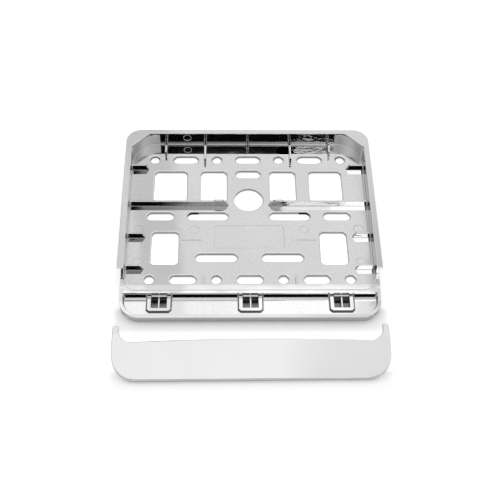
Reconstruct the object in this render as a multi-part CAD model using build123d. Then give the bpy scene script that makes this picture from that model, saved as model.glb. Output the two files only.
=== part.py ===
"""Two-piece plated holder for a motorcycle number plate.

A moulded base with mounting holes, plate ribs and a lipped wall on three sides, and the
retaining strip that clips over the plate's lower edge, lying taken off in front of it.
Millimetres, +X to the right, +Y to the top of the plate, +Z away from the vehicle.
The origin is the centre of the large round hole, on the back plane of the base.
"""

import os
from math import radians, sqrt, tan

from build123d import *

# Plate that the holder is made for
plate_width = 210.0
plate_height = 170.0
plate_side_play = 1.2
plate_end_play = 5.8
plate_gap = 6.0

# Base: thicknesses and levels
floor_thickness = 3.8
wall_thickness = 2.7
lip_thickness = 2.3
lip_overhang = 2.9
lip_back_overhang = 2.2
lip_edge_radius = 0.7
rib_height = 6.0
rib_thickness = 1.7
rib_draft = 1.2
rib_end_slope = 3.0
shelf_rim_height = 2.5
shelf_rim_fall = 0.5

# Base: plan
back_wall_y = 68.3
lip_end_from_riser = 20.0
curb_width = 8.7
shelf_depth = 19.2
shelf_rim_width = 2.9
bay_corner_radius = 25.0
bay_front_radius = 10.0
bay_foot_radius = 0.5
riser_draft = 5.0
shelf_wall_draft = 20.0
shelf_back_radius = 3.0
lip_corner_radius = 14.3
lip_corner_cut = 15.8
front_corner_radius = 17.0
ramp_length = 12.0
groove_width = 1.0
groove_depth = 0.3
core_wall = 2.4

# Base: holes
hole_pitch = 57.0
hole_diameter = 8.4
slot_width = 8.4
short_slot_length = 22.3
side_slot_length = 23.6
side_slot_x = 78.2
long_slot_length = 35.8
middle_slot_x = 36.3
lower_slot_x = 28.6
centre_hole_diameter = 25.4
upper_row_from_wall = 19.8
centre_slot_y = 30.4
middle_row_y = -19.5
lower_slot_below_mid = 11.45
lower_row_from_curb = 9.8
window_height = 35.2
window_radius = 3.5
window_width = 23.0
wide_window_width = 29.1
upper_window_y = 16.1
lower_window_below_mid = 0.95
inner_window_x = 31.2
outer_window_x = 70.2
lower_window_x = 73.2
hole_rim_radius = 1.2

# Base: ribs
long_rib_y = -7.0
long_rib_end_x = 17.8
rib_bump_x = 26.4
rib_bump_width = 9.0
rib_bump_height = 1.3
rib_bump_slope = 1.2
side_rib_length = 16.0
side_rib_ys = (36.4, -43.4)
last_side_rib_from_riser = 29.2
back_rib_ends = ((75.5, 52.6), (39.3, 44.4), (0.0, 62.6))
guide_rib_x = 39.4
guide_rib_length = 11.5
guide_rib_height = 4.0

# Base: moulding marks and the bare label panel
mark_diameter = 8.5
mark_depth = 0.3
floor_marks = ((48.3, -34.8), (96.2, -34.0), (95.8, -70.3))
wall_mark_diameter = 7.0
wall_mark_x = 56.0
wall_mark_level = 8.2
panel_width = 61.0
panel_height = 25.2
panel_radius = 3.0
panel_below_mid = 0.4

# Clip sockets on the front shelf
socket_pitch = 76.0
socket_wall = 3.0
socket_height = 2.0
socket_draft = 30.0
socket_corner_cut = 2.4
pocket_width = 13.2
pocket_depth = 12.1
pocket_floor_thickness = 1.0
divider_thickness = 1.2
catch_reach = 1.2
catch_height = 1.2
catch_level = 1.8

# Retaining strip
strip_skin = 2.0
strip_edge_height = 3.0
strip_edge_width = 1.8
strip_front_overhang = 3.4
strip_front_lift = 0.3
strip_corner_radius = 19.0
strip_depth = 31.7
strip_crown = 1.1
strip_edge_bow = 2.0
strip_edge_radius = 1.0
horn_radius = 10.5
horn_tip_radius = 2.5
seam_gap = 0.4
clip_leg_thickness = 1.8
clip_reach = 1.8
clip_barb = 0.9
clip_play = 0.4

# Where the strip lies, taken off
strip_lies_forward = 53.6
strip_lies_turned = 0.4

# Derived places and levels
bay_half = plate_width / 2 + plate_side_play
riser_y = back_wall_y - plate_height - plate_end_play
curb_y = riser_y + curb_width
shelf_front_y = riser_y - shelf_depth
lip_end_y = riser_y + lip_end_from_riser
upper_row_y = back_wall_y - upper_row_from_wall
lower_row_y = curb_y + lower_row_from_curb
lower_mid_y = (middle_row_y + lower_row_y) / 2
lower_slot_y = lower_mid_y - lower_slot_below_mid
lower_window_y = lower_mid_y - lower_window_below_mid
panel_y = (middle_row_y + lower_slot_y) / 2 - panel_below_mid
front_y = shelf_front_y - shelf_rim_width
wall_half = bay_half + wall_thickness
wall_back_y = back_wall_y + wall_thickness
lip_half = wall_half + lip_overhang
lip_back_y = wall_back_y + lip_back_overhang
rib_top = floor_thickness + rib_height
lip_bottom = rib_top + plate_gap
lip_top = lip_bottom + lip_thickness
shelf_rim_top = floor_thickness + shelf_rim_height
socket_xs = [step * socket_pitch for step in (-1, 0, 1)]
strip_front_y = front_y - strip_front_overhang
strip_rear_y = strip_front_y + strip_depth
clip_tip = floor_thickness + socket_height - clip_reach
clip_leg_width = (pocket_width - divider_thickness) / 2 - 2 * clip_play


def rounded_bay(half, front, back, front_radius, back_radius):
    """Symmetric outline from y = front to y = back with its own corner radius at each end."""
    face = make_face(Polyline((-half, front), (half, front), (half, back), (-half, back), close=True))
    corners = face.vertices().group_by(Axis.Y)
    if front_radius > 0:
        face = fillet(corners[0], front_radius)
        corners = face.vertices().group_by(Axis.Y)
    return fillet(corners[-1], back_radius) if back_radius > 0 else face


def raised(face, bottom, top):
    """Straight prism of a plan face between two levels."""
    return Pos(0, 0, bottom) * extrude(face, top - bottom)


def side_profile(points, half):
    """Prism along X, 2 * half wide, of a closed outline given as (y, z) points."""
    face = make_face(Polyline(*[(0, y, z) for y, z in points], close=True))
    return extrude(face, half, dir=(1, 0, 0), both=True)


def hole_layout():
    """Plans of every hole through the floor."""
    rows = (upper_row_y, lower_row_y)
    places = [Pos(step * hole_pitch, y) for step in (-1.5, -0.5, 0.5, 1.5) for y in rows]
    holes = [place * Circle(hole_diameter / 2) for place in places]
    holes += [Pos(step * hole_pitch, y) * SlotOverall(short_slot_length, slot_width)
              for step in (-1, 0, 1) for y in rows]
    holes.append(Pos(0, centre_slot_y) * SlotOverall(short_slot_length, slot_width))
    holes.append(Circle(centre_hole_diameter / 2))
    for side in (-1, 1):
        holes.append(Pos(side * side_slot_x, middle_row_y) * SlotOverall(side_slot_length, slot_width))
        holes.append(Pos(side * middle_slot_x, middle_row_y) * SlotOverall(long_slot_length, slot_width))
        holes.append(Pos(side * lower_slot_x, lower_slot_y) * SlotOverall(long_slot_length, slot_width))
        for x, y, width in (
            (inner_window_x, upper_window_y, window_width),
            (outer_window_x, upper_window_y, wide_window_width),
            (lower_window_x, lower_window_y, window_width),
        ):
            holes.append(Pos(side * x, y) * RectangleRounded(width, window_height, window_radius))
    return holes


def pan_outline():
    """Plan of the floor and the outside of the walls."""
    return rounded_bay(wall_half, front_y, wall_back_y, front_corner_radius,
                       bay_corner_radius + wall_thickness)


def floor_plate():
    """Floor with all its holes, their upper edges rounded."""
    plate = raised(pan_outline(), 0, floor_thickness)
    for hole in hole_layout():
        plate -= raised(hole, -1, floor_thickness + 1)
    top = plate.faces().sort_by(Axis.Z)[-1]
    rims = [edge for wire in top.inner_wires() for edge in wire.edges()]
    return fillet(rims, hole_rim_radius)


def walls():
    """Back and side walls, curb and shelf rim: everything solid that stands on the floor's edge."""
    block = raised(pan_outline(), floor_thickness, lip_bottom)
    ramp_top = riser_y + ramp_length / 2
    ramp_foot = riser_y - ramp_length / 2
    past_front = front_y - 1
    over = lip_bottom + 1
    block -= side_profile(
        [(lip_end_y, over), (lip_end_y, rib_top), (ramp_top, rib_top), (ramp_foot, shelf_rim_top),
         (shelf_front_y, shelf_rim_top), (front_y, shelf_rim_top - shelf_rim_fall),
         (past_front, shelf_rim_top - shelf_rim_fall), (past_front, over)], wall_half + 1)
    curb_step = side_profile(
        [(riser_y, rib_top), (riser_y, shelf_rim_top - 1), (ramp_top, shelf_rim_top - 1),
         (ramp_top, rib_top)], bay_half)
    block += curb_step
    bay = raised(rounded_bay(bay_half, curb_y, back_wall_y, bay_front_radius, bay_corner_radius),
                 floor_thickness, over)
    block -= fillet(bay.faces().sort_by(Axis.Z)[0].edges(), bay_foot_radius)
    inset = shelf_rim_height * tan(radians(shelf_wall_draft))
    shelf_foot = rounded_bay(wall_half - shelf_rim_width - inset, shelf_front_y + inset, riser_y,
                             front_corner_radius - shelf_rim_width - inset, shelf_back_radius)
    shelf = Pos(0, 0, floor_thickness) * extrude(shelf_foot, rib_height + 1, taper=-shelf_wall_draft)
    lean = rib_height * tan(radians(riser_draft))
    riser = side_profile([(curb_y, floor_thickness), (riser_y - lean, floor_thickness),
                          (riser_y, rib_top), (curb_y, rib_top)], wall_half)
    return block - (shelf - riser)


def curb_groove():
    """Shallow groove that parts the curb's inner band from its outer rim."""
    outer_y = riser_y + wall_thickness - groove_width / 2
    outer = rounded_bay(bay_half + groove_width / 2, outer_y, lip_end_y,
                        bay_front_radius + 2 * groove_width, 0)
    inner = rounded_bay(bay_half - groove_width / 2, outer_y + groove_width, lip_end_y,
                        bay_front_radius + groove_width, 0)
    return raised(outer - inner, rib_top - groove_depth, rib_top + 1)


def curb_core():
    """Hollow moulded into the curb from the back."""
    middle = (curb_y + riser_y) / 2
    length = 2 * (bay_half - bay_front_radius)
    plan = Pos(0, middle) * Rectangle(length, curb_width - 2 * core_wall)
    return raised(plan, 0, rib_top - core_wall)


def lip():
    """Flat lip around three sides, with broad outer corners and cut-off inner ones."""
    outer = rounded_bay(lip_half, lip_end_y, lip_back_y, 0, lip_corner_radius)
    inner = make_face(Polyline(
        (-bay_half, lip_end_y - 1), (bay_half, lip_end_y - 1),
        (bay_half, back_wall_y - lip_corner_cut), (bay_half - lip_corner_cut, back_wall_y),
        (lip_corner_cut - bay_half, back_wall_y), (-bay_half, back_wall_y - lip_corner_cut),
        close=True))
    band = raised(outer - inner, lip_bottom, lip_top)
    edges = band.faces().sort_by(Axis.Z)[-1].edges()
    return fillet(edges, lip_edge_radius)


def cross_rib(start_x, end_x, y):
    """Drafted rib across the tray from the wall at start_x, sloping down at its free end."""
    slope = rib_end_slope if end_x > start_x else -rib_end_slope
    face = make_face(Polyline((start_x, 0), (end_x, 0), (end_x - slope, rib_height),
                              (start_x, rib_height), close=True))
    length = extrude(Plane.XZ * face, rib_thickness, both=True)
    crest = rib_thickness / 2
    foot = crest + rib_height * tan(radians(rib_draft))
    section = side_profile([(-foot, 0), (foot, 0), (crest, rib_height), (-crest, rib_height)],
                           abs(start_x) + abs(end_x))
    return Pos(0, y, floor_thickness) * (length & section)


def rib_bump(x, y):
    """Low spring bump on the top of a long rib."""
    half = rib_bump_width / 2
    shoulder = half - rib_bump_slope
    face = make_face(Polyline((-half, -1), (half, -1), (half, 0), (shoulder, rib_bump_height),
                              (-shoulder, rib_bump_height), (-half, 0), close=True))
    bump = extrude(Plane.XZ * face, rib_thickness / 2, both=True)
    return Pos(x, y, rib_top) * bump


def back_rib(x, end_y):
    """Short rib that runs forward from the back wall."""
    root = back_wall_y + wall_thickness / 2
    points = [(root, floor_thickness), (end_y, floor_thickness), (end_y, rib_top), (root, rib_top)]
    return Pos(x, 0, 0) * side_profile(points, rib_thickness / 2)


def guide_rib(x):
    """Small rib that steadies the plate's edge in front of the curb."""
    middle = curb_y + guide_rib_length / 2
    plan = Pos(x, middle) * Rectangle(rib_thickness, guide_rib_length)
    return raised(plan, floor_thickness, floor_thickness + guide_rib_height)


def ribs():
    """All ribs that carry the plate."""
    wall_x = bay_half + wall_thickness / 2
    pieces = []
    for side in (-1, 1):
        pieces.append(cross_rib(side * wall_x, side * long_rib_end_x, long_rib_y))
        pieces.append(rib_bump(side * rib_bump_x, long_rib_y))
        for y in (*side_rib_ys, riser_y + last_side_rib_from_riser):
            pieces.append(cross_rib(side * wall_x, side * (bay_half - side_rib_length), y))
        pieces.append(guide_rib(side * guide_rib_x))
        pieces += [back_rib(side * x, y) for x, y in back_rib_ends if x > 0 or side > 0]
    return pieces


def marks():
    """Shallow ejector marks on the floor and back wall, and the recess of the bare label panel."""
    plans = [Pos(side * x, y) * Circle(mark_diameter / 2) for side in (-1, 1) for x, y in floor_marks]
    plans.append(Pos(0, panel_y) * RectangleRounded(panel_width, panel_height, panel_radius))
    cuts = [raised(plan, floor_thickness - mark_depth, floor_thickness + 1) for plan in plans]
    for side in (-1, 1):
        disc = extrude(Plane.XZ * Circle(wall_mark_diameter / 2), mark_depth, both=True)
        cuts.append(Pos(side * wall_mark_x, back_wall_y, floor_thickness + wall_mark_level) * disc)
    return cuts


def socket_collar(x):
    """Drafted collar around one clip pocket, open to the riser behind it."""
    flare = socket_wall + socket_height * tan(radians(socket_draft))
    half = pocket_width / 2 + flare
    front = riser_y - pocket_depth - flare
    cut = socket_corner_cut
    foot = make_face(Polyline(
        (-half, riser_y + 1), (-half, front + cut), (cut - half, front), (half - cut, front),
        (half, front + cut), (half, riser_y + 1), close=True))
    return Pos(x, 0, floor_thickness) * extrude(foot, socket_height, taper=socket_draft)


def pocket(x):
    """Space inside a collar that takes the strip's clip."""
    plan = Pos(x, riser_y - pocket_depth / 2) * Rectangle(pocket_width, pocket_depth)
    return raised(plan, pocket_floor_thickness, floor_thickness + socket_height + 1)


def pocket_fittings(x):
    """Divider down the middle of a pocket, and the catch on the riser for the clip's barbs."""
    top = floor_thickness + socket_height - 0.2
    run = pocket_depth + 1
    divider = raised(Pos(x, riser_y - pocket_depth / 2) * Rectangle(divider_thickness, run),
                     pocket_floor_thickness - 0.2, top)
    level = floor_thickness + catch_level
    catch = side_profile([(riser_y + 0.5, level), (riser_y - catch_reach, level),
                          (riser_y - catch_reach, level + catch_height / 2),
                          (riser_y + 0.5, level + catch_height)], pocket_width / 2 - clip_play)
    return [divider, Pos(x, 0, 0) * catch]


def holder_base():
    """The whole moulded base as one solid."""
    base = floor_plate() + walls() + lip()
    base -= curb_groove()
    base -= curb_core()
    for cut in marks():
        base -= cut
    for rib in ribs():
        base += rib
    for x in socket_xs:
        base += socket_collar(x)
        base -= pocket(x)
        for piece in pocket_fittings(x):
            base += piece
    return base


def strip_plan(inset):
    """Plan of the strip, drawn in by inset at its sides, front and horn tips."""
    half = lip_half - inset
    front = strip_front_y + inset
    tip = lip_end_y - seam_gap - inset
    rear = strip_rear_y - strip_edge_bow
    horn_inner = bay_half
    outer = rounded_bay(half, front, tip, strip_corner_radius - inset, 0)
    bend_x = horn_inner - horn_radius
    bend_y = rear + horn_radius
    quarter = horn_radius * (1 - sqrt(0.5))
    mouth = Polyline((-horn_inner, bend_y), (-horn_inner, tip + 1), (horn_inner, tip + 1),
                     (horn_inner, bend_y))
    right = ThreePointArc((horn_inner, bend_y), (horn_inner - quarter, rear + quarter), (bend_x, rear))
    crest = ThreePointArc((bend_x, rear), (0, rear + strip_edge_bow), (-bend_x, rear))
    left = ThreePointArc((-bend_x, rear), (quarter - horn_inner, rear + quarter), (-horn_inner, bend_y))
    return outer - make_face(mouth + right + crest + left)


def strip_section(drop, bottom_drop):
    """Prism between the crowned top surface lowered by drop and the same lowered by bottom_drop."""
    rear = strip_rear_y
    front = strip_front_y
    high = lip_top
    low = clip_tip + strip_front_lift + strip_edge_height
    middle = ((rear + front) / 2, (high + low) / 2 + strip_crown)
    behind = lip_end_y + 10

    def curve(down):
        return [Line((0, behind, high - down), (0, rear, high - down)),
                ThreePointArc((0, rear, high - down), (0, middle[0], middle[1] - down),
                              (0, front, low - down))]

    upper, lower = curve(drop), curve(bottom_drop)
    ends = [Line((0, behind, high - drop), (0, behind, high - bottom_drop)),
            Line((0, front, low - drop), (0, front, low - bottom_drop))]
    face = make_face(upper + lower + ends)
    return extrude(face, lip_half + 1, dir=(1, 0, 0), both=True)


def clip(x, side):
    """Half of one clip: a barbed rear leg behind the catch and a plain front leg, beside the divider."""
    centre = x + side * (divider_thickness / 2 + clip_play + clip_leg_width / 2)
    top = lip_top - strip_skin / 2
    barb_top = floor_thickness + catch_level - clip_play
    rear_y = riser_y - catch_reach - clip_play - clip_leg_thickness / 2
    front_leg_y = riser_y - pocket_depth + clip_play + clip_leg_thickness / 2
    legs = [raised(Pos(centre, y) * Rectangle(clip_leg_width, clip_leg_thickness), clip_tip, top)
            for y in (rear_y, front_leg_y)]
    face_y = rear_y + clip_leg_thickness / 2
    nose_y = face_y + clip_barb
    barb = side_profile([(rear_y, clip_tip), (face_y, clip_tip), (nose_y, (clip_tip + barb_top) / 2),
                         (nose_y, barb_top), (rear_y, barb_top)], clip_leg_width / 2)
    return legs + [Pos(centre, 0, 0) * barb]


def fitted_strip():
    """The strip in its clipped-on place."""
    horn_width = lip_half - bay_half
    horn_tips = strip_plan(0).vertices().group_by(Axis.Y)[-1]
    outline = fillet(horn_tips, min(horn_tip_radius, 0.45 * horn_width))
    shell = raised(outline, 0, lip_top + 5) & strip_section(0, strip_edge_height)
    upper = [face for face in shell.faces() if face.normal_at().Z > 0.7]
    shared = upper[0].edges() & upper[1].edges()
    rim = [edge for face in upper for edge in face.edges() if edge not in shared]
    shell = fillet(rim, strip_edge_radius)
    hollow = raised(strip_plan(strip_edge_width), 0, lip_top + 5)
    shell -= hollow & strip_section(strip_skin, strip_edge_height + 1)
    below_top = strip_section(strip_skin / 2, lip_top + 20)
    for x in socket_xs:
        for side in (-1, 1):
            for piece in clip(x, side):
                shell += piece & below_top
    return shell


def lying_strip():
    """The strip taken off and set down in front of the base, on the tips of its clips."""
    middle = (strip_front_y + strip_rear_y) / 2
    turned = Rot(0, 0, strip_lies_turned) * Pos(0, -middle, 0) * fitted_strip()
    return Pos(0, middle - strip_lies_forward, -clip_tip) * turned


os.makedirs("parts", exist_ok=True)
export_step(holder_base(), "parts/holder_base.step")
export_step(lying_strip(), "parts/retaining_strip.step")
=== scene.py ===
import math

import bpy
from mathutils import Matrix, Vector

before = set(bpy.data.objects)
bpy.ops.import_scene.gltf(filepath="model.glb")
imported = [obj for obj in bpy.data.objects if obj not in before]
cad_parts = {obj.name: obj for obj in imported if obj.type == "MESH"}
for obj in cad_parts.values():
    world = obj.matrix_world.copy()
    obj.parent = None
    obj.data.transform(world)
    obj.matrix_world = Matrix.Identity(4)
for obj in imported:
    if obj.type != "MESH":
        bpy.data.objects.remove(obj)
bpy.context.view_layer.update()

# Places on the base that the plating follows, in metres in the frame of the part
FLOOR_TOP = 0.0038
BORE_FOOT = 0.0016
RIM_FOOT = FLOOR_TOP - 0.0009
BAY_HALF = 0.1062
BAY_BACK = 0.0683
BAY_CORNER = 0.0425
SEAM_WIDTH = 0.0032
RISER_Y = -0.1075
CURB_Y = -0.0988
CURB_TOP = 0.0098
FRONT_EDGE = -0.1296
SHELF_CORNER_TOP = FLOOR_TOP + 0.0023
SOCKET_PITCH = 0.076
POCKET_HALF = 0.0066
POCKET_FRONT = RISER_Y - 0.0121
POCKET_TOP = FLOOR_TOP + 0.0015
MIDDLE_ROW_Y = -0.0195
SLOT_END = 0.0545
SLOT_SHADE_LENGTH = 0.009
LONG_RIB_Y = -0.007
LONG_RIB_HALF = 0.0015
LONG_RIB_MIDDLE = 0.0068
MOULD_LINE_X = 0.05
MOULD_LINE_Y = -0.047
MOULD_LINE_HALF = 0.008

# How far a mask reaches past a face, and the widths of its soft edges, in metres
NEAR = 0.0002
SOFT = 0.0003
WIDE = 0.0005

# Heights of the plating's unevenness and the radius of its edges, in metres
SWELL = 0.00004
WALL_PEEL = 0.000006
RIB_PEEL = 0.000015
FLECK_PEEL = 0.000026
SPECKLE = 0.0000016
MOULD_LINE = 0.0003
EDGE_ROUND = 0.0005
# Reach of the painted crease shade
CREASE_REACH = 0.0014

# Rise of the long ribs' faces over their height
RIB_LEAN = 0.0147

# Grains per metre of the plating's patterns
CLOUD_GRAIN = 16.0
SWELL_GRAIN = 45.0
PEEL_GRAIN = 420.0
SPECKLE_GRAIN = 700.0

# Greys painted over the plating: painted shade on side and outer faces, in creases, on shelf corners, in
# holes and pockets and at slot ends, a painted highlight on the curb, and the plating's own tones
SIDE_SHADE_GREY = (0.45, 0.452, 0.456, 1.0)
CREASE_SHADE_GREY = (0.25, 0.251, 0.254, 1.0)
CURB_HIGHLIGHT_WHITE = (0.97, 0.97, 0.97, 1.0)
CORNER_SHADE_GREY = (0.3, 0.301, 0.305, 1.0)
HOLLOW_SHADE_GREY = (0.2, 0.2, 0.205, 1.0)
SLOT_SHADE_BLACK = (0.01, 0.01, 0.01, 1.0)
BASE_TONE = 0.82
STRIP_TONE = 0.89

# Screens around the part: radius in metres, then azimuths and elevations in degrees
SCREEN_REACH = 3.2
SCREEN_STEPS = 24
ROOM_SPAN = (-85.0, 85.0), (18.0, 57.0)
SWEEP_SPAN = (85.0, 275.0), (3.0, 58.1)
TABLE_HALF = 6.0

# Camera of the photograph
EYE = Vector((-0.021837, -0.615679, 0.71853))
FORWARD = Vector((0.02456, 0.61517, -0.78801))
UPWARD = Vector((0.00122, 0.78823, 0.61538))
LENS = 75.57
SENSOR = 36.0
NEAR_CLIP = 0.01


class Wire:
    """A socket of a node tree. Arithmetic on wires adds Math nodes, and node() makes every other node."""

    def __init__(self, tree, socket=None):
        self.tree = tree
        self.socket = socket

    def node(self, kind, settings=None, values=None, output=0):
        made = self.tree.nodes.new(kind)
        for name, setting in (settings or {}).items():
            if name == "stops":
                ramp = made.color_ramp.elements
                while len(ramp) < len(setting):
                    ramp.new(0.5)
                for element, (place, shade) in zip(ramp, setting):
                    element.position = place
                    element.color = (*shade, 1.0)
            else:
                setattr(made, name, setting)
        for key, value in (values or {}).items():
            if isinstance(value, Wire):
                self.tree.links.new(value.socket, made.inputs[key])
            else:
                made.inputs[key].default_value = value
        return Wire(self.tree, made.outputs[output] if made.outputs else None)

    def math(self, operation, *terms):
        return self.node("ShaderNodeMath", {"operation": operation}, dict(enumerate(terms)))

    def __add__(self, other):
        return self.math("ADD", self, other)

    def __radd__(self, other):
        return self.math("ADD", other, self)

    def __sub__(self, other):
        return self.math("SUBTRACT", self, other)

    def __rsub__(self, other):
        return self.math("SUBTRACT", other, self)

    def __mul__(self, other):
        return self.math("MULTIPLY", self, other)

    def __rmul__(self, other):
        return self.math("MULTIPLY", other, self)

    def __abs__(self):
        return self.math("ABSOLUTE", self)

    def ease(self, low, high):
        """0 below low, 1 above high and a soft step between; a high under low runs the other way."""
        return self.node("ShaderNodeMapRange", {"interpolation_type": "SMOOTHSTEP"},
                         {"Value": self, "From Min": low, "From Max": high})

    def capped(self):
        return self.node("ShaderNodeClamp", None, {"Value": self})


def axes_of(vector):
    """The X, Y and Z wires of a vector wire."""
    return [vector.node("ShaderNodeSeparateXYZ", None, {"Vector": vector}, axis) for axis in range(3)]


def object_place(start):
    """Place on the piece itself, in metres."""
    return start.node("ShaderNodeTexCoord", None, None, 3)


def new_finish(name):
    """An empty material and the wire that its nodes hang on."""
    material = bpy.data.materials.new(name)
    material.use_nodes = True
    material.node_tree.nodes.clear()
    return material, Wire(material.node_tree)


def grain(place, scale, detail=2.0):
    return place.node("ShaderNodeTexNoise", None, {"Vector": place, "Scale": scale, "Detail": detail})


def mixed(under, over, share):
    """A colour wire with a share of another colour over it."""
    return under.node("ShaderNodeMix", {"data_type": "RGBA"}, {"Factor": share, 6: under, 7: over}, 2)


def between(wire, low, high, soft):
    """1 from low to high, and 0 from a soft step outside them."""
    return wire.ease(low - soft, low) * wire.ease(high + soft, high)


def level_face(height, upward, level):
    """Mask of the faces that look up at one level."""
    return between(height, level - NEAR, level + NEAR, SOFT) * upward.ease(0.9, 0.98)


def hollows(spot, steep):
    """Masks of painted shade on the walls of the holes and clip pockets, and of a painted dark reflection at
    the slots' outer ends.
    """
    across, along, height = spot
    bore = between(height, BORE_FOOT, RIM_FOOT, WIDE) * steep.ease(0.8, 0.4)
    bore = bore * between(across, -BAY_HALF, BAY_HALF, WIDE) * between(along, RISER_Y + 0.003, BAY_BACK, WIDE)
    off_centre = across.math("PINGPONG", abs(across), SOCKET_PITCH / 2)
    pocket = off_centre.ease(POCKET_HALF + WIDE, POCKET_HALF + NEAR)
    pocket = pocket * between(along, POCKET_FRONT - NEAR, RISER_Y + NEAR, SOFT)
    pocket = pocket * height.ease(POCKET_TOP, POCKET_TOP - 0.0006)
    # Painted dark reflection at the outer ends of the middle slots.
    slot_ends = between(height, BORE_FOOT - 0.0006, FLOOR_TOP - 0.0006, SOFT) * steep.ease(0.85, 0.6)
    slot_ends = slot_ends * between(abs(across), SLOT_END - SLOT_SHADE_LENGTH, SLOT_END, 0.002)
    slot_ends = slot_ends * between(along, MIDDLE_ROW_Y + 0.001, MIDDLE_ROW_Y + 0.0055, 0.001)
    return (bore + pocket).capped(), slot_ends


def base_marks(spot, facing, upright):
    """Masks of the base's own places, from where a point lies and which way its face looks."""
    across, along, height = spot
    sideward, backward, upward = facing
    steep = abs(upward)
    floor = level_face(height, upward, FLOOR_TOP)
    shelf = between(along, FRONT_EDGE + 0.003, RISER_Y - 0.001, SOFT)
    shelf = shelf * between(height, FLOOR_TOP + SOFT, SHELF_CORNER_TOP, NEAR)
    satin = upright * between(abs(sideward), 0.06, 0.94, 0.03) * backward.ease(0.0, -0.1)
    mould_line = between(abs(across), MOULD_LINE_X - MOULD_LINE_HALF, MOULD_LINE_X + MOULD_LINE_HALF, SOFT)
    crisp = between(along, RISER_Y - 0.0008, RISER_Y + 0.0014, NEAR)
    bare, slot_ends = hollows(spot, steep)
    return {
        "floor": floor,
        "seam": floor * along.ease(BAY_BACK - SEAM_WIDTH, BAY_BACK - SEAM_WIDTH + 0.0004),
        # Painted shade on the upright walls around the shelf, standing in for the riser's dark reflection.
        "shelf_corner_shade": shelf * steep.ease(0.95, 0.6),
        # Painted highlight: the curb's top is mixed towards white.
        "curb": level_face(height, upward, CURB_TOP) * between(along, RISER_Y, CURB_Y, NEAR),
        "bay_corners": satin * along.ease(BAY_CORNER, BAY_CORNER + 0.001),
        "long_ribs": upright * between(along, LONG_RIB_Y - LONG_RIB_HALF, LONG_RIB_Y + LONG_RIB_HALF, SOFT),
        "mould_lines": mould_line * between(along, MOULD_LINE_Y - NEAR / 2, MOULD_LINE_Y + NEAR / 2, WIDE),
        "curb_edge": crisp * height.ease(CURB_TOP - 0.0012, CURB_TOP - 0.0008),
        "bare": bare,
        "slot_ends": slot_ends,
    }


def chrome(name, tone, is_base):
    """Chrome plating on moulded plastic: soft waviness, peel on the upright faces, a grained floor, and
    painted shade and highlights set by place and facing.
    """
    material, start = new_finish(name)
    place = object_place(start)
    spot = axes_of(place)
    across, along, height = spot
    normal = start.node("ShaderNodeNewGeometry", None, None, 1)
    facing = axes_of(normal)
    upright = abs(facing[2]).ease(0.85, 0.35)

    cloud = grain(place, CLOUD_GRAIN, 3.0)
    speckle = grain(place, SPECKLE_GRAIN, 1.0)
    drawn = start.node("ShaderNodeMapping", None, {"Vector": place, "Scale": (0.45, 1.0, 1.0)})
    ripple = WALL_PEEL + (RIB_PEEL - WALL_PEEL) * along.ease(0.062, 0.058)
    ripple = ripple + FLECK_PEEL * across.ease(0.036, 0.05) * along.ease(0.06, 0.065)
    relief = SWELL * grain(place, SWELL_GRAIN, 1.0) + upright * (ripple * grain(drawn, PEEL_GRAIN))

    outer_edge = along.ease(FRONT_EDGE + 0.004, FRONT_EDGE + 0.002)
    outer_edge = outer_edge + along.ease(BAY_BACK + 0.001, BAY_BACK + 0.002)
    # Painted shade: upright faces that look sideways, and the outer front and back walls, are greyed to stand
    # in for darker reflections.
    side_shade = upright * (abs(facing[0]).ease(0.5, 0.9) + 0.7 * outer_edge).capped()
    # Painted shade in creases, from ambient occlusion.
    open_sky = start.node("ShaderNodeAmbientOcclusion", {"samples": 8, "only_local": True},
                          {"Distance": CREASE_REACH}, 1)
    crease_shade = 0.7 * open_sky.ease(0.9, 0.5)
    haze = cloud + 0.3 * (speckle - 0.5)
    rough = 0.012 + 0.01 * cloud
    edge = start.node("ShaderNodeBevel", {"samples": 6}, {"Radius": EDGE_ROUND})
    # Painted shade on side and outer faces and in creases.
    shades = [(side_shade, SIDE_SHADE_GREY), (crease_shade, CREASE_SHADE_GREY)]

    if is_base:
        marks = base_marks(spot, facing, upright)
        floor = marks["floor"]
        haze = haze + 1.3 * floor * (speckle - 0.5)
        rough = rough + floor * (0.012 + 0.016 * speckle) + 0.14 * marks["seam"] + 0.15 * marks["bare"]
        rough = rough + marks["bay_corners"] * (0.32 + 0.12 * cloud)
        relief = relief + floor * (SPECKLE * speckle + MOULD_LINE * marks["mould_lines"])
        relief = relief + marks["long_ribs"] * (RIB_LEAN * (height - LONG_RIB_MIDDLE))
        edge = start.node("ShaderNodeMix", {"data_type": "VECTOR"},
                          {"Factor": marks["curb_edge"], 4: edge, 5: normal}, 1)
        # Painted shade by facing, in creases, on shelf corners, in holes, pockets and slot ends, and a
        # painted highlight on the curb top.
        shades = [(side_shade, SIDE_SHADE_GREY), (crease_shade * (1 - 0.6 * floor), CREASE_SHADE_GREY),
                  (0.8 * marks["curb"], CURB_HIGHLIGHT_WHITE), (marks["shelf_corner_shade"], CORNER_SHADE_GREY),
                  (marks["bare"], HOLLOW_SHADE_GREY), (marks["slot_ends"], SLOT_SHADE_BLACK)]

    tint = start.node("ShaderNodeValToRGB", {"stops": [
        (0.1, [tone * 0.92] * 3), (0.9, [tone * 1.02, tone * 1.023, tone * 1.028])]}, {"Fac": haze})
    for share, shade in shades:
        tint = mixed(tint, shade, share)
    skin = start.node("ShaderNodeBump", None, {"Distance": 1.0, "Height": relief, "Normal": edge})
    shader = start.node("ShaderNodeBsdfPrincipled", None, {
        "Base Color": tint, "Metallic": 1.0, "Roughness": rough, "Normal": skin})
    start.node("ShaderNodeOutputMaterial", None, {"Surface": shader})
    return material


def dress(node, material):
    """Gives a CAD node's object one material in every slot."""
    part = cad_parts[node]
    part.data.materials.clear()
    part.data.materials.append(material)


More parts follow.
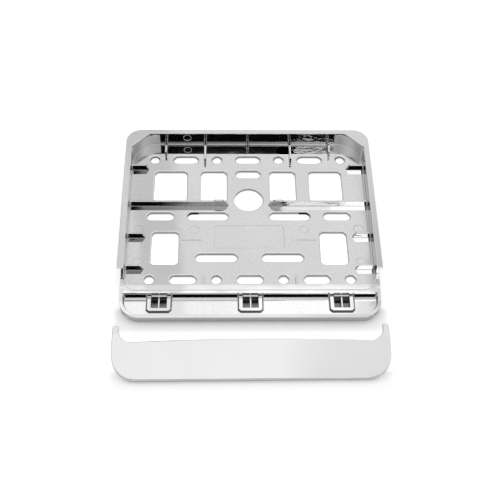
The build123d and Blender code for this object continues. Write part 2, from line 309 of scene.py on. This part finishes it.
def stand(name, corners, quads, finish):
    mesh = bpy.data.meshes.new(name)
    mesh.from_pydata(corners, [], quads)
    mesh.materials.append(finish)
    piece = bpy.data.objects.new(name, mesh)
    bpy.context.scene.collection.objects.link(piece)
    return piece


def curved_screen(name, span, finish):
    """Part of a large sphere around the object. Azimuth 0 is the camera's side and grows to its right."""
    (first_turn, last_turn), (low, high) = span
    corners, quads = [], []
    for row in range(SCREEN_STEPS + 1):
        rise = math.radians(low + (high - low) * row / SCREEN_STEPS)
        for column in range(SCREEN_STEPS + 1):
            turn = math.radians(first_turn + (last_turn - first_turn) * column / SCREEN_STEPS)
            corners.append((SCREEN_REACH * math.sin(turn) * math.cos(rise),
                            -SCREEN_REACH * math.cos(turn) * math.cos(rise),
                            SCREEN_REACH * math.sin(rise)))
    across = SCREEN_STEPS + 1
    for row in range(SCREEN_STEPS):
        for first in range(row * across, row * across + SCREEN_STEPS):
            quads.append((first, first + 1, first + across + 1, first + across))
    screen = stand(name, corners, quads, finish)
    screen.visible_camera = False
    screen.visible_diffuse = False


def screen_angles(start):
    """Azimuth, elevation and rise over the far edge, in degrees, of a place on a screen."""
    x, y, z = axes_of(object_place(start))
    degrees = 180 / math.pi
    azimuth = start.math("ARCTAN2", x, 0 - y) * degrees
    elevation = start.math("ARCSINE", z * (1 / SCREEN_REACH)) * degrees
    rise = start.math("ARCTAN2", z, y) * degrees
    return azimuth, elevation, rise


def shine(start, glow):
    """Ends a screen's nodes with a light whose grey is the glow."""
    light = start.node("ShaderNodeEmission", None, {"Color": glow})
    start.node("ShaderNodeOutputMaterial", None, {"Surface": light})


def seen_rays(start):
    """1 for camera, glossy and transmission rays, 0 for the light that falls on a surface."""
    rays = [start.node("ShaderNodeLightPath", None, None, output) for output in (0, 3, 6)]
    return (rays[0] + rays[1] + rays[2]).capped()


def dark_room():
    """Room behind the camera that the upright faces mirror: black, with a low bright ceiling to the right.

    The back wall mirrors elevations from 46.9 to 47.8 degrees, the long ribs those around 48.5 and 49.9.
    """
    finish, start = new_finish("dark_room")
    azimuth, elevation, _ = screen_angles(start)
    right = azimuth.ease(5.0, 7.2)
    far_right = azimuth.ease(10.5, 12.0)
    middle = azimuth.ease(-7.6, -3.4)
    ceiling_edge = 50.8 - 3.6 * right + 1.6 * azimuth.ease(-10.0, -11.0)
    beam = between(azimuth, 6.0, 11.8, 0.8) * between(elevation, 47.65, 47.85, 0.1)
    ceiling = (elevation - ceiling_edge).ease(-0.1, 0.1) - beam
    ceiling_glow = 0.25 + 0.45 * azimuth.ease(-9.5, -6.0) + 0.55 * right + 0.5 * far_right
    dim_band = 0.4 * middle * between(elevation, 48.2, 49.3, 0.15)
    pale_band = (0.28 * azimuth.ease(-10.2, -9.4) + 0.2 * middle) * between(elevation, 49.5, 50.7, 0.15)
    dark = 0.002 + ceiling * ceiling_glow + (dim_band + pale_band) * (1 - right)
    side_wall = 0.42 + 0.4 * abs(azimuth).ease(16.0, 75.0)
    inside = between(azimuth, -12.2, 16.2, 1.8) * elevation.ease(37.5, 40.5)
    shine(start, side_wall + inside * (dark - side_wall))
    curved_screen("dark_room", ROOM_SPAN, finish)


def grey_sweep():
    """Grey sweep on the far side that the flat faces mirror: dim low down, bright at its top.

    The curb mirrors it from a rise of 55.4 degrees, the shelf from 56 and the strip's horns from 57.8.
    """
    finish, start = new_finish("grey_sweep")
    azimuth, elevation, rise = screen_angles(start)
    off_centre = start.math("WRAP", azimuth + 180.0, 180.0, -180.0)
    right = off_centre.ease(2.0, -6.0)
    far_right = off_centre.ease(-14.5, -16.5)
    right_lip = (0 - off_centre - 0.545 * elevation).ease(-12.9, -12.1)
    right_lip = right_lip * (0.08 + 0.025 * (elevation - 47.0)) * elevation.ease(56.0, 55.2)
    left_lip = 0.07 * off_centre.ease(10.8, 12.2) * between(elevation, 49.5, 55.2, 0.8)
    left_floor = 0.16 * between(off_centre, 6.5, 9.8, 1.5)
    foot = 0.38 * elevation.ease(43.0, 38.0)
    horn = rise.ease(57.6, 57.9)
    curb = rise.ease(55.4, 55.7) * (0.08 + 0.1 * right - (0.045 + 0.1 * horn) * far_right)
    shelf = between(rise, 56.0, 57.75, 0.15) * (0.22 + 0.02 * right) * (1 - far_right)
    shine(start, 0.83 - (left_floor + right_lip + left_lip) - foot + curb + shelf)
    curved_screen("grey_sweep", SWEEP_SPAN, finish)


def white_table():
    """Pale table that keeps the soft shadow around the part and is white elsewhere, with a painted shadow in
    strips in front of the base and the strip and painted light under the tray.
    """
    finish, start = new_finish("pale_table")
    place = object_place(start)
    across, along, _ = axes_of(place)
    tint = start.node("ShaderNodeValToRGB", {"stops": [(0.3, [0.9] * 3), (0.7, [0.91] * 3)]},
                      {"Fac": grain(place, 3.0)})
    matt = start.node("ShaderNodeBsdfDiffuse", None, {"Color": tint})
    # Painted light: the table's glow is raised under the tray.
    under_tray_light = between(across, 0.01 - BAY_HALF, BAY_HALF - 0.01, 0.005)
    under_tray_light = under_tray_light * between(along, RISER_Y + 0.01, BAY_BACK - 0.01, 0.005)
    # Painted shadow: the glow is dimmed in strips in front of the base and the strip.
    before_base = between(along, -0.137, -0.12, 0.007)
    before_strip = between(along, -0.194, -0.18, 0.005)
    shadow = (before_base + 0.7 * before_strip) * between(across, -0.108, 0.108, 0.012)
    glow = start.node("ShaderNodeEmission", None, {
        "Color": seen_rays(start) * (0.42 - 0.28 * shadow + 0.3 * under_tray_light)})
    both = start.node("ShaderNodeAddShader", None, {0: matt, 1: glow})
    start.node("ShaderNodeOutputMaterial", None, {"Surface": both})
    corners = [(-TABLE_HALF, -TABLE_HALF, 0), (TABLE_HALF, -TABLE_HALF, 0),
               (TABLE_HALF, TABLE_HALF, 0), (-TABLE_HALF, TABLE_HALF, 0)]
    stand("table", corners, [(0, 1, 2, 3)], finish)


def studio_world():
    """White room that lights the table mostly from the far side and from above."""
    world = bpy.data.worlds.new("studio")
    world.use_nodes = True
    world.node_tree.nodes.clear()
    start = Wire(world.node_tree)
    seen = seen_rays(start)
    across, far, high = axes_of(start.node("ShaderNodeTexCoord", None, None, 0))
    light = 0.4 + 1.3 * far.ease(-0.15, 0.45)
    sides = 0.035 * across.ease(0.0, -0.1) + 0.16 * across.ease(0.05, 0.115)
    overhead = 1 - high.ease(0.8, 0.86) * sides
    glow = start.node("ShaderNodeBackground", None, {"Color": seen * overhead + (1 - seen) * light})
    start.node("ShaderNodeOutputWorld", None, {"Surface": glow})
    bpy.context.scene.world = world


def photo_camera():
    """Camera where the photograph was taken from."""
    camera = bpy.data.cameras.new("photo_camera")
    camera.sensor_width = SENSOR
    camera.lens = LENS
    camera.clip_start = NEAR_CLIP
    eye = bpy.data.objects.new("photo_camera", camera)
    side = FORWARD.cross(UPWARD).normalized()
    top = side.cross(FORWARD).normalized()
    back = -FORWARD.normalized()
    eye.matrix_world = Matrix.Translation(EYE) @ Matrix((side, top, back)).transposed().to_4x4()
    bpy.context.scene.collection.objects.link(eye)
    bpy.context.scene.camera = eye


photo_camera()
studio_world()
white_table()
dark_room()
grey_sweep()
dress("holder_base", chrome("plated_base", BASE_TONE, True))
dress("retaining_strip", chrome("plated_strip", STRIP_TONE, False))

bpy.context.scene.view_settings.view_transform = "Standard"
bpy.context.view_layer.update()
